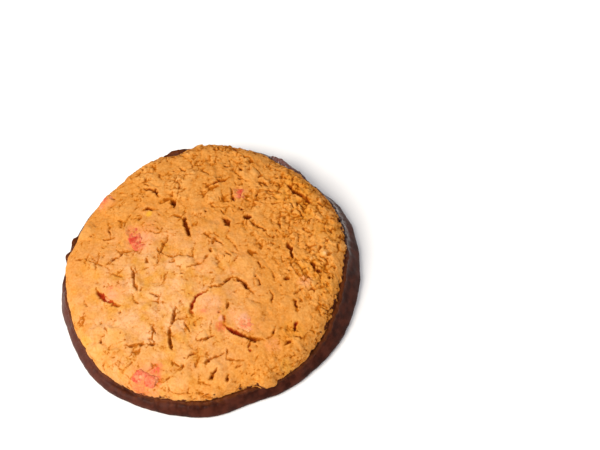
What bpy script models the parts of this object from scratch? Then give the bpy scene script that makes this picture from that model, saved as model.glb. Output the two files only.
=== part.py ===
"""A cherry cookie: a crackled, golden sugar biscuit with candied cherry bits, dipped in dark chocolate.

The chocolate is a shallow cup with a spread foot, and the biscuit sits in it. Each cherry bit lies in a
pocket of its own in the crust. Sizes are in millimetres and angles in degrees, and the mesh is scaled to
metres at the end. The cookie lies on z = 0, with the middle of its footprint at the origin and its crust
facing +Z.
"""

import math

import bmesh
import bpy
from mathutils import Matrix, Vector, noise

METRES_PER_MM = 0.001

# The biscuit
COOKIE_HEIGHT = 10.5
SHOULDER_START = 28.8
SHOULDER_HEIGHT = 8.3
SHOULDER_ROUND = 3.9
BISCUIT_BOTTOM_HEIGHT = 1.7
BISCUIT_BOTTOM_RADIUS = 30.8
DOME_POWER = 2.2
TUCK_POWER = 1.6
# How much of the outline's lobes the biscuit's side takes over from the foot
BISCUIT_SHARE_OF_LOBES = 0.7

# The chocolate
FOOT_RADIUS = 34.5
FOOT_HEIGHT = 1.1
RIM_HEIGHT = 4.0
RIM_THICKNESS = 0.7
JOIN_GAP = 0.3
WALL_SEGMENTS = 96
WALL_STEPS_INSIDE = 4
# The foot's rounded edge, as steps in from the foot's radius and heights
FOOT_UNDERSIDE_INSET = 1.0
FOOT_LOWER_INSET, FOOT_LOWER_HEIGHT = 0.3, 0.3
FOOT_TOP_INSET, FOOT_TOP_RISE = 0.4, 0.85
# The wall is slightly hollow between the foot and the rim
WALL_HOLLOW = 0.1
# The rim's rounded edge, as drops from its height and a step in from its outside
RIM_ROUND_DROP, RIM_ROUND_INSET = 0.35, 0.25
RIM_INNER_DROP = 0.1

# Relief of the crust
CRUST_RINGS = 35
SWELL_SIZE, SWELL_RISE = 17.0, 0.30
DIMPLE_SIZE, DIMPLE_RISE = 5.0, 0.20
PLATE_SIZE, PLATE_JOINT_WIDTH, PLATE_JOINT_DEPTH = 6.5, 1.3, 0.40
PLATE_BEND_SIZE, PLATE_BEND = 4.0, 1.2
# Joints fade out and come back over this size: their usual strength, and how far it varies
JOINT_FADE_SIZE, JOINT_STRENGTH, JOINT_VARIATION = 6.0, 0.7, 1.6
CRACK_BASE_DEPTH, CRACK_DEPTH_PER_WIDTH = 0.40, 0.85
CRACK_SLOPE, CRACK_STEEPNESS = 0.35, 1.6
CRACK_END_DEPTH = 0.35
CRACK_STEP = 0.8
CRACK_WANDER, CRACK_WANDER_STEP = 0.35, 0.9
CRACK_PULL, CRACK_PULL_REACH = 0.62, 1.7
RELIEF_START, RELIEF_FADE = 0.1, 0.8
# On the shoulder the relief leans outwards, up to this share of level
RELIEF_LEAN = 0.9
# Places where each kind of noise is read, far enough apart to look unrelated
WANDER_NOISE_HEIGHT = 3.0
DIMPLE_NOISE_OFFSET = Vector((7.0, 0.0, 0.0))
JOINT_NOISE_OFFSET = Vector((0.0, 9.0, 0.0))
BEND_NOISE_OFFSETS = (Vector((9.3, -1.5, 4.0)), Vector((-3.7, 6.1, 8.0)))

# Where the outline swells (+) or is drawn in (-): angle, half width, height
OUTLINE_LOBES = (
    (95, 9, 0.8),
    (113, 8, 0.5),
    (70, 13, -0.4),
    (43, 13, -1.3),
    (138, 9, -0.5),
    (168, 8, -0.4),
    (190, 8, 0.3),
    (229, 14, 0.6),
    (272, 7, 0.3),
    (289, 9, -0.9),
    (332, 16, 0.4),
)
FOOT_LOBES = (
    (43, 12, -0.6),
    (106, 6, 0.4),
    (166, 6, 0.5),
)
CRUST_LOBES = (
    (57, 8, -1.0),
    (104, 7, -0.9),
    (176, 8, 0.7),
    (235, 20, 0.5),
    (310, 16, 0.7),
    (350, 26, -0.3),
)
# Where the chocolate climbs higher up the side, or stays low
RIM_LOBES = (
    (352, 30, 2.0),
    (235, 22, -1.0),
    (310, 12, -0.9),
    (57, 10, 1.4),
    (120, 12, -0.5),
    (180, 5, -1.3),
    (194, 7, 0.6),
)
# Blobs where the chocolate ran over its own rim
RIM_BLOBS = (
    (57, 7, 0.9),
    (106, 8, 1.3),
    (164.5, 3.0, 1.0),
    (171.5, 2.6, 0.9),
)

# The largest cracks: x and y of the start, heading, length, bend, width
CRACKS = (
    (5.3, -16.8, -40, 10.2, 28, 1.4),
    (-24.0, -6.5, -62, 7.6, 47, 1.3),
    (1.8, -8.8, -155, 7.4, 70, 1.2),
    (-5.1, -12.5, -88, 4.8, -32, 0.9),
    (-6.3, -17.0, -95, 5.6, 38, 1.0),
    (-6.8, 11.5, -60, 3.0, 55, 0.8),
    (-4.5, 10.0, -75, 5.3, 0, 1.3),
    (-7.4, 15.2, -68, 2.1, 0, 2.0),
    (-12.9, 18.6, -45, 1.9, 0, 1.6),
    (-14.8, 13.1, 5, 3.3, -15, 0.8),
    (4.2, 9.3, -50, 2.8, 0, 1.5),
    (9.3, 9.5, -15, 1.6, 0, 2.2),
    (10.8, 8.3, -40, 4.5, 12, 1.0),
    (19.0, 3.0, -62, 5.8, -28, 0.9),
    (18.4, 17.9, -40, 7.5, 0, 1.5),
    (0.0, 18.2, 36, 6.0, -28, 1.0),
    (5.6, 17.6, -68, 3.6, 0, 1.1),
    (-16.0, -20.7, -6, 6.3, 14, 0.8),
    (4.5, -8.0, 45, 3.9, -25, 0.7),
    (8.0, -5.8, -35, 5.6, -25, 0.8),
    (20.8, -11.3, -75, 3.1, 0, 0.9),
    (21.6, -16.5, -115, 2.2, 0, 1.2),
    (5.9, -23.4, -150, 5.0, 0, 0.8),
    (4.4, -27.0, -128, 2.6, 0, 1.0),
    (-11.3, -8.8, -42, 2.4, 50, 0.8),
    (-8.2, 5.7, -115, 6.0, 22, 0.7),
    (-17.0, 2.1, 190, 5.4, 35, 0.7),
)

# Lumps placed one by one: x and y of the middle, heading, length, breadth, rise
LUMPS = (
    (3.2, -11.4, 60, 9.5, 7.5, 0.40),
    (11.2, -14.6, -25, 8.5, 6.5, 0.30),
    (21.5, 17.6, -50, 10.5, 4.0, 0.55),
    (-23.2, -17.0, 12, 7.0, 3.0, 0.45),
    (14.6, -29.2, 25, 4.4, 3.2, 1.00),
    (-12.5, -14.0, 20, 8.0, 6.0, 0.15),
    (-4.5, 3.5, -30, 7.0, 6.0, 0.15),
)
# Each lump is level within its core and falls over its skirt, as shares of its half size
LUMP_CORE, LUMP_SKIRT = 0.45, 0.75

# The cherry bits: x, y, heading, length, breadth, thickness, rise above the crust
CHERRY_BITS = (
    (-15.6, 5.4, -62, 6.4, 4.0, 3.0, 0.20),
    (7.9, 16.0, 92, 3.8, 2.6, 2.4, 0.15),
    (-20.2, -8.1, 60, 3.9, 3.2, 2.6, 0.20),
    (2.4, -13.1, 15, 4.4, 3.4, 2.8, 0.15),
    (10.6, -16.9, -42, 5.0, 3.6, 2.8, 0.20),
    (-11.6, -28.4, -18, 6.2, 3.4, 2.8, 0.20),
    (-24.3, 17.1, 50, 4.8, 2.8, 2.6, 0.20),
)
BIT_SEGMENTS, BIT_RINGS = 12, 7
BIT_SQUARENESS = 0.65
BIT_LUMPINESS = 0.16
BIT_LUMP_SIZE = 1.7

CRUST_COLOUR = (0.79, 0.40, 0.12)
CHOCOLATE_COLOUR = (0.075, 0.022, 0.014)
CHERRY_COLOUR = (0.78, 0.10, 0.07)


def lobed(angle, lobes):
    """The sum of smooth bumps round the edge, at an angle in radians."""
    total = 0.0
    for centre, half_width, height in lobes:
        away = (math.degrees(angle) - centre + 180) % 360 - 180
        total += height * math.exp(-((away / half_width) ** 2))
    return total


def foot_radius(angle):
    return FOOT_RADIUS + lobed(angle, OUTLINE_LOBES) + lobed(angle, FOOT_LOBES)


def rim_height(angle):
    return RIM_HEIGHT + lobed(angle, RIM_LOBES)


def rim_blobs(angle):
    return lobed(angle, RIM_BLOBS)


def crust_growth(angle):
    """How much further out than a true circle the biscuit's side lies."""
    return BISCUIT_SHARE_OF_LOBES * lobed(angle, OUTLINE_LOBES) + lobed(angle, CRUST_LOBES)


def shoulder_centre():
    """The centre of the round that carries the dome's edge into the side, tangent to both."""
    drop = COOKIE_HEIGHT - SHOULDER_HEIGHT
    slope = drop * DOME_POWER / SHOULDER_START
    normal = Vector((slope, 1.0)).normalized()
    return Vector((SHOULDER_START, SHOULDER_HEIGHT)) - SHOULDER_ROUND * normal


def dome_height(radius):
    """Height of the crust over the dome and, past its edge, down the round of the shoulder."""
    if radius <= SHOULDER_START:
        return COOKIE_HEIGHT - (COOKIE_HEIGHT - SHOULDER_HEIGHT) * (radius / SHOULDER_START) ** DOME_POWER
    centre = shoulder_centre()
    return centre.y + math.sqrt(max(SHOULDER_ROUND**2 - (radius - centre.x) ** 2, 0.0))


def side_radius(height):
    """The biscuit's radius below its shoulder, before the outline's lobes."""
    centre = shoulder_centre()
    widest = centre.x + SHOULDER_ROUND
    if height >= centre.y:
        return centre.x + math.sqrt(max(SHOULDER_ROUND**2 - (height - centre.y) ** 2, 0))
    share = (centre.y - height) / (centre.y - BISCUIT_BOTTOM_HEIGHT)
    return widest - (widest - BISCUIT_BOTTOM_RADIUS) * share**TUCK_POWER


def crust_profile():
    """The biscuit's half section, from the middle of the dome over the shoulder to the bottom edge."""
    centre = shoulder_centre()
    points = [Vector((r, dome_height(r))) for r in frange(0, SHOULDER_START, 60)]
    start = math.atan2(SHOULDER_HEIGHT - centre.y, SHOULDER_START - centre.x)
    for turn in frange(start, 0, 20)[1:]:
        points.append(centre + SHOULDER_ROUND * Vector((math.cos(turn), math.sin(turn))))
    for height in frange(centre.y, BISCUIT_BOTTOM_HEIGHT, 10)[1:]:
        points.append(Vector((side_radius(height), height)))
    return points


def frange(first, last, steps):
    return [first + (last - first) * i / steps for i in range(steps + 1)]


def resampled(points, count):
    """The same line with count + 1 points, evenly spaced along it."""
    along = [0.0]
    for a, b in zip(points, points[1:]):
        along.append(along[-1] + (b - a).length)
    spaced, i = [], 0
    for target in frange(0.0, along[-1], count):
        while i < len(points) - 2 and along[i + 1] < target:
            i += 1
        share = (target - along[i]) / (along[i + 1] - along[i])
        spaced.append(points[i].lerp(points[i + 1], min(share, 1.0)))
    return spaced


def crack_path(x, y, heading, length, bend):
    """Points along a crack: an arc that wanders a little from side to side."""
    steps = max(2, round(length / CRACK_STEP))
    path = [Vector((x, y))]
    for i in range(steps):
        turn = math.radians(heading + bend * (i + 0.5) / steps)
        step = Vector((math.cos(turn), math.sin(turn))) * length / steps
        place = Vector((x + i * CRACK_WANDER_STEP, y, WANDER_NOISE_HEIGHT))
        wander = noise.noise(place) * CRACK_WANDER
        aside = Vector((-step.y, step.x)).normalized() * wander
        path.append(path[-1] + step + aside)
    return path


def nearest_on_path(point, path):
    """(distance, nearest point, share of the way along) of a path of straight pieces."""
    best = (math.inf, path[0], 0.0)
    for i, (a, b) in enumerate(zip(path, path[1:])):
        run = b - a
        share = max(0.0, min(1.0, (point - a).dot(run) / run.length_squared))
        near = a + run * share
        away = (point - near).length
        if away < best[0]:
            best = (away, near, (i + share) / (len(path) - 1))
    return best


def crack_depth(point, cracks):
    """How deep the hand-placed cracks cut at a point of the crust's plan."""
    deepest = 0.0
    for path, width in cracks:
        if (point - path[len(path) // 2]).length > len(path) * CRACK_STEP + width:
            continue
        away, _, share = nearest_on_path(point, path)
        taper = min(1.0, 4 * share * (1 - share) + CRACK_END_DEPTH)
        depth = (CRACK_BASE_DEPTH + CRACK_DEPTH_PER_WIDTH * width) * taper
        across = max(0.0, 1.0 - away / (width / 2 + CRACK_SLOPE))
        deepest = max(deepest, depth * min(1.0, CRACK_STEEPNESS * across))
    return deepest


def placed_lumps(point):
    """Rise of the hand-placed lumps at a point of the crust's plan."""
    highest = 0.0
    for x, y, heading, length, breadth, height in LUMPS:
        own = Matrix.Rotation(-math.radians(heading), 2) @ (point - Vector((x, y)))
        out = Vector((own.x / (length / 2), own.y / (breadth / 2))).length
        fall = max(0.0, min(1.0, (out - LUMP_CORE) / LUMP_SKIRT))
        highest = max(highest, height * (1 - fall * fall * (3 - 2 * fall)))
    return highest


def relief(point, cracks):
    """Height that the crust's swells, dimples, lumps, plates and cracks add at a point of its plan."""
    spot = Vector((point.x, point.y, 0.0))
    swell = SWELL_RISE * noise.noise(spot / SWELL_SIZE)
    dimples = DIMPLE_RISE * noise.noise(spot / DIMPLE_SIZE + DIMPLE_NOISE_OFFSET)
    aside = [PLATE_BEND * noise.noise(spot / PLATE_BEND_SIZE + offset) for offset in BEND_NOISE_OFFSETS]
    near, second = noise.voronoi((spot + Vector((*aside, 0.0))) / PLATE_SIZE)[0][:2]
    joint = max(0.0, 1.0 - (second - near) * PLATE_SIZE / PLATE_JOINT_WIDTH)
    varied = JOINT_VARIATION * noise.noise(spot / JOINT_FADE_SIZE + JOINT_NOISE_OFFSET)
    broken = max(0.0, min(1.0, JOINT_STRENGTH + varied))
    raised = swell + dimples + placed_lumps(point)
    return raised - PLATE_JOINT_DEPTH * joint * broken - crack_depth(point, cracks)


def drawn_to_cracks(point, cracks):
    """A point of the crust's lattice drawn towards the nearest crack, where the lattice is then finest."""
    best, target = 2 * CRACK_PULL_REACH, point
    for path, _ in cracks:
        if (point - path[len(path) // 2]).length > len(path) * CRACK_STEP + best:
            continue
        away, near, _ = nearest_on_path(point, path)
        if away < best:
            best, target = away, near
    pull = CRACK_PULL * math.exp(-((best / CRACK_PULL_REACH) ** 2))
    return point.lerp(target, pull)


def disc_lattice(rings):
    """Faces of a disc whose ring k holds 6 k points, which keeps its triangles even in size."""
    def index(k, i):
        return 0 if k == 0 else 1 + 3 * k * (k - 1) + i % (6 * k)

    faces = []
    for k in range(rings):
        for side in range(6):
            for i in range(k + 1):
                outer = side * (k + 1) + i
                inner = side * k + i
                faces.append((index(k, inner), index(k + 1, outer), index(k + 1, outer + 1)))
                if i < k:
                    faces.append((index(k, inner), index(k + 1, outer + 1), index(k, inner + 1)))
    return faces


def footprint_middle():
    """The middle of the box round the foot's outline, which becomes the origin."""
    outline = [ring_point(foot_radius(a), a, 0.0) for a in frange(0, math.tau, WALL_SEGMENTS)]
    low = Vector(min(p[i] for p in outline) for i in range(3))
    high = Vector(max(p[i] for p in outline) for i in range(3))
    return (low + high) / 2


def ring_point(radius, angle, height):
    return Vector((radius * math.cos(angle), radius * math.sin(angle), height))


def new_object(name, vertices, faces, material):
    """An object made from points in millimetres, moved to centre the footprint and scaled to metres."""
    mesh = bpy.data.meshes.new(name)
    mesh.from_pydata([tuple(v) for v in vertices], [], faces)
    mesh.transform(Matrix.Scale(METRES_PER_MM, 4) @ Matrix.Translation(-footprint_middle()))
    mesh.validate()
    build = bmesh.new()
    build.from_mesh(mesh)
    bmesh.ops.recalc_face_normals(build, faces=build.faces)
    build.to_mesh(mesh)
    build.free()
    mesh.materials.append(material)
    obj = bpy.data.objects.new(name, mesh)
    bpy.context.scene.collection.objects.link(obj)
    return obj


def new_material(name, colour, roughness, coat=0.0):
    material = bpy.data.materials.new(name)
    material.use_nodes = True
    shader = material.node_tree.nodes["Principled BSDF"]
    shader.inputs["Base Color"].default_value = (*colour, 1.0)
    shader.inputs["Roughness"].default_value = roughness
    shader.inputs["Metallic"].default_value = 0.0
    shader.inputs["Coat Weight"].default_value = coat
    material.diffuse_color = (*colour, 1.0)
    return material


def make_biscuit(material):
    """The biscuit: rings of points over the dome, shoulder and side, moved in and out by the relief."""
    cracks = [(crack_path(*row[:5]), row[5]) for row in CRACKS]
    profile = resampled(crust_profile(), CRUST_RINGS)
    widest = shoulder_centre().x + SHOULDER_ROUND
    vertices = []
    for k, section in enumerate(profile):
        for i in range(max(1, 6 * k)):
            angle = math.tau * i / max(1, 6 * k)
            share = section.x / widest
            radius = section.x + crust_growth(angle) * share * share
            point = ring_point(radius, angle, section.y)
            if radius < SHOULDER_START:
                plan = drawn_to_cracks(point.xy, cracks)
                point = Vector((plan.x, plan.y, dome_height(plan.length)))
            covered = rim_height(angle) + rim_blobs(angle) + RELIEF_START
            shown = (section.y - covered) / RELIEF_FADE
            rise = relief(point.xy, cracks) * max(0.0, min(1.0, shown))
            lean = max(0.0, section.x - SHOULDER_START) / SHOULDER_ROUND
            lean = min(lean, 1.0)
            outward = ring_point(lean, angle, 1.0 - RELIEF_LEAN * lean).normalized()
            vertices.append(point + outward * rise)
    faces = disc_lattice(CRUST_RINGS)
    last_ring = 6 * CRUST_RINGS
    faces.append(tuple(range(len(vertices) - last_ring, len(vertices))))
    return new_object("biscuit", vertices, faces, material)


def chocolate_section(angle):
    """The chocolate's section at an angle, from under the foot round to the cup's floor."""
    foot, growth = foot_radius(angle), crust_growth(angle)
    rim = rim_height(angle) + rim_blobs(angle)
    floor = BISCUIT_BOTTOM_HEIGHT - JOIN_GAP

    def inner(height):
        return side_radius(height) + growth + JOIN_GAP

    rim_outside = inner(rim) + RIM_THICKNESS + rim_blobs(angle)
    rim_inside = rim - RIM_INNER_DROP
    foot_top = (foot - FOOT_TOP_INSET, FOOT_HEIGHT + FOOT_TOP_RISE)
    wall_middle = ((foot_top[0] + rim_outside) / 2 - WALL_HOLLOW, (foot_top[1] + rim) / 2)
    outside = [
        (foot - FOOT_UNDERSIDE_INSET, 0.0),
        (foot - FOOT_LOWER_INSET, FOOT_LOWER_HEIGHT),
        (foot, FOOT_HEIGHT),
        foot_top,
        wall_middle,
        (rim_outside, rim - RIM_ROUND_DROP),
        (rim_outside - RIM_ROUND_INSET, rim),
        (inner(rim), rim_inside),
    ]
    inside = [(inner(h), h) for h in frange(rim_inside, floor, WALL_STEPS_INSIDE)[1:]]
    return outside + inside


def make_chocolate(material):
    """The chocolate cup: one section swept round the cookie, capped below and across the cup's floor."""
    angles = frange(0, math.tau, WALL_SEGMENTS)[:-1]
    sections = [chocolate_section(a) for a in angles]
    count = len(sections[0])
    vertices = [ring_point(r, a, z) for a, s in zip(angles, sections) for r, z in s]
    faces = []
    for i in range(WALL_SEGMENTS):
        here, there = i * count, (i + 1) % WALL_SEGMENTS * count
        for j in range(count - 1):
            faces.append((here + j, there + j, there + j + 1, here + j + 1))
    faces.append(tuple(i * count for i in range(WALL_SEGMENTS)))
    faces.append(tuple(i * count + count - 1 for i in range(WALL_SEGMENTS)))
    return new_object("chocolate_base", vertices, faces, material)


def bit_points(row, extra):
    """Points of one cherry bit, a lumpy squat pebble let into the dome, made larger all round by extra."""
    x, y, heading, length, breadth, thickness, proud = row
    reach = math.hypot(x, y)
    from_middle = reach - crust_growth(math.atan2(y, x)) * (reach / SHOULDER_START) ** 2
    fall = math.atan(dome_height(from_middle - 0.5) - dome_height(from_middle + 0.5))
    tilted = Matrix.Rotation(fall, 3, Vector((-y, x, 0.0)).normalized())
    turned = Matrix.Rotation(math.radians(heading), 3, "Z")
    sunk = tilted @ Vector((0.0, 0.0, proud - thickness / 2))
    centre = Vector((x, y, dome_height(from_middle))) + sunk
    points = []
    for j in range(1, BIT_RINGS):
        down = math.pi * j / BIT_RINGS
        for i in range(BIT_SEGMENTS):
            points.append(pebble_point(down, math.tau * i / BIT_SEGMENTS))
    points += [pebble_point(0.0, 0.0), pebble_point(math.pi, 0.0)]
    half = Vector((length, breadth, thickness)) / 2
    placed = []
    for p in points:
        lump = 1 + BIT_LUMPINESS * noise.noise(p * length / BIT_LUMP_SIZE + centre)
        sized = Vector((p.x * half.x, p.y * half.y, p.z * half.z)) * lump + p * extra
        placed.append(centre + tilted @ turned @ sized)
    return placed


def squared(value):
    """A sine or cosine pushed outwards, which turns a circle into a rounded square."""
    return math.copysign(abs(value) ** BIT_SQUARENESS, value)


def pebble_point(down, turn):
    """A point of a rounded block two units across."""
    out = squared(math.sin(down))
    return Vector((out * squared(math.cos(turn)), out * squared(math.sin(turn)), squared(math.cos(down))))


def bit_faces():
    north = BIT_SEGMENTS * (BIT_RINGS - 1)
    faces = []
    for i in range(BIT_SEGMENTS):
        j = (i + 1) % BIT_SEGMENTS
        faces.append((north, i, j))
        for ring in range(BIT_RINGS - 2):
            here, below = ring * BIT_SEGMENTS, (ring + 1) * BIT_SEGMENTS
            faces.append((here + i, below + i, below + j, here + j))
        last = (BIT_RINGS - 2) * BIT_SEGMENTS
        faces.append((last + i, north + 1, last + j))
    return faces


def make_cherry_bits(material):
    return [
        new_object(f"cherry_bit_{i}", bit_points(row, 0.0), bit_faces(), material)
        for i, row in enumerate(CHERRY_BITS, start=1)
    ]


def cut_pockets(biscuit):
    """Cuts a pocket for each cherry bit, wider than the bit all round."""
    vertices, faces = [], []
    for row in CHERRY_BITS:
        first = len(vertices)
        vertices += bit_points(row, JOIN_GAP)
        faces += [tuple(first + i for i in face) for face in bit_faces()]
    cutter = new_object("pockets", vertices, faces, biscuit.data.materials[0])
    cutter.hide_render = True
    cutter.display_type = "WIRE"
    cut = biscuit.modifiers.new("pockets", "BOOLEAN")
    cut.operation = "DIFFERENCE"
    cut.object = cutter
    cut.solver = "EXACT"


def clear_scene():
    for obj in list(bpy.data.objects):
        bpy.data.objects.remove(obj, do_unlink=True)


def main():
    clear_scene()
    crust = new_material("baked_sugar_dough", CRUST_COLOUR, 0.9)
    chocolate = new_material("dark_chocolate", CHOCOLATE_COLOUR, 0.35, coat=0.2)
    cherry = new_material("candied_cherry", CHERRY_COLOUR, 0.3, coat=0.3)
    make_chocolate(chocolate)
    bits = make_cherry_bits(cherry)
    biscuit = make_biscuit(crust)
    cut_pockets(biscuit)
    for bit in bits:
        bit.data.shade_smooth()


main()
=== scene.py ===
"""Looks of a cherry cookie: crackled golden crust, candied cherry in it, and a cup of dark chocolate below.

Shapes are worked out in millimetres, about the middle of the cookie's foot, and scaled to metres at the end.
"""

import math

import bpy
import numpy as np
from mathutils import Matrix, Vector, noise


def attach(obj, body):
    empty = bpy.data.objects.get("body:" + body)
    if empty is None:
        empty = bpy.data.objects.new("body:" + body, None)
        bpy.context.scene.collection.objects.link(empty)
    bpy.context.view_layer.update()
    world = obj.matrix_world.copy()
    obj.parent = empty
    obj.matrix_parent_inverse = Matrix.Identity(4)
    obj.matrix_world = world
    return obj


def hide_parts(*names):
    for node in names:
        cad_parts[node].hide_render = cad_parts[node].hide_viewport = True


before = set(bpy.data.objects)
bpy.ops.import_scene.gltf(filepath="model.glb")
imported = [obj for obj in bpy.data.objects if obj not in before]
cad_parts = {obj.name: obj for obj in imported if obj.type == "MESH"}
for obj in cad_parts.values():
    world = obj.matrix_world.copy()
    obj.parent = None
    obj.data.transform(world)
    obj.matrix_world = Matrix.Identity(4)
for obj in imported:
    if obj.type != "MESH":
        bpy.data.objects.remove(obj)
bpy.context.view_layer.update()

METRES_PER_MM = 0.001

# The biscuit and its cup, as in the solids
COOKIE_HEIGHT = 10.5
SHOULDER_START = 28.8
SHOULDER_HEIGHT = 8.3
SHOULDER_ROUND = 3.9
BISCUIT_BOTTOM_HEIGHT = 1.7
BISCUIT_BOTTOM_RADIUS = 30.8
DOME_POWER = 2.2
TUCK_POWER = 1.6
FOOT_RADIUS = 34.5
FOOT_HEIGHT = 1.1
RIM_HEIGHT = 4.0
RIM_THICKNESS = 0.7
# How much of the outline's lobes the biscuit follows
BISCUIT_SHARE_OF_LOBES = 0.7

# Where the outline swells (+) or is drawn in (-): angle, half width, height
OUTLINE_LOBES = (
    (95, 9, 0.8),
    (113, 8, 0.5),
    (70, 13, -0.4),
    (43, 13, -1.3),
    (138, 9, -0.5),
    (168, 8, -0.4),
    (190, 8, 0.3),
    (229, 14, 0.6),
    (272, 7, 0.3),
    (289, 9, -0.9),
    (332, 16, 0.4),
)
FOOT_LOBES = (
    (43, 12, -0.6),
    (106, 6, 0.4),
    (166, 6, 0.5),
)
CRUST_LOBES = (
    (57, 8, -1.0),
    (104, 7, -0.9),
    (176, 8, 0.7),
    (235, 20, 0.5),
    (310, 16, 0.7),
    (350, 26, -0.3),
)
RIM_LOBES = (
    (352, 30, 2.0),
    (235, 22, -1.0),
    (310, 12, -0.9),
    (57, 10, 1.4),
    (120, 12, -0.5),
    (180, 5, -1.3),
    (194, 7, 0.6),
)
# Blobs where the chocolate ran over its own rim: angle, half width, height
RIM_BLOBS = (
    (57, 7, 0.9),
    (106, 8, 1.3),
    (164.5, 3.0, 1.0),
    (171.5, 2.6, 0.9),
)
# Where a pale sheen is painted on the chocolate's face, a painted reflection and glint: angle, half width,
# strength
PAINTED_SHEEN_LOBES = (
    (204, 30, 0.40),
    (57, 9, 0.8),
)
# Where the rim stayed wet and lumpy and set with a gloss: angle, half width, strength
GLOSS_LOBES = (
    (55, 14, 1.0),
    (20, 16, 1.0),
)

# Fineness of the meshes
PROFILE_STEPS = 400
FOOT_STEPS = 96
CRUST_RINGS = 178
# The crust's ring k holds this many times k points
RING_SIDES = 6
CHOCOLATE_SEGMENTS = 900
BIT_SEGMENTS, BIT_RINGS = 72, 44

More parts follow.
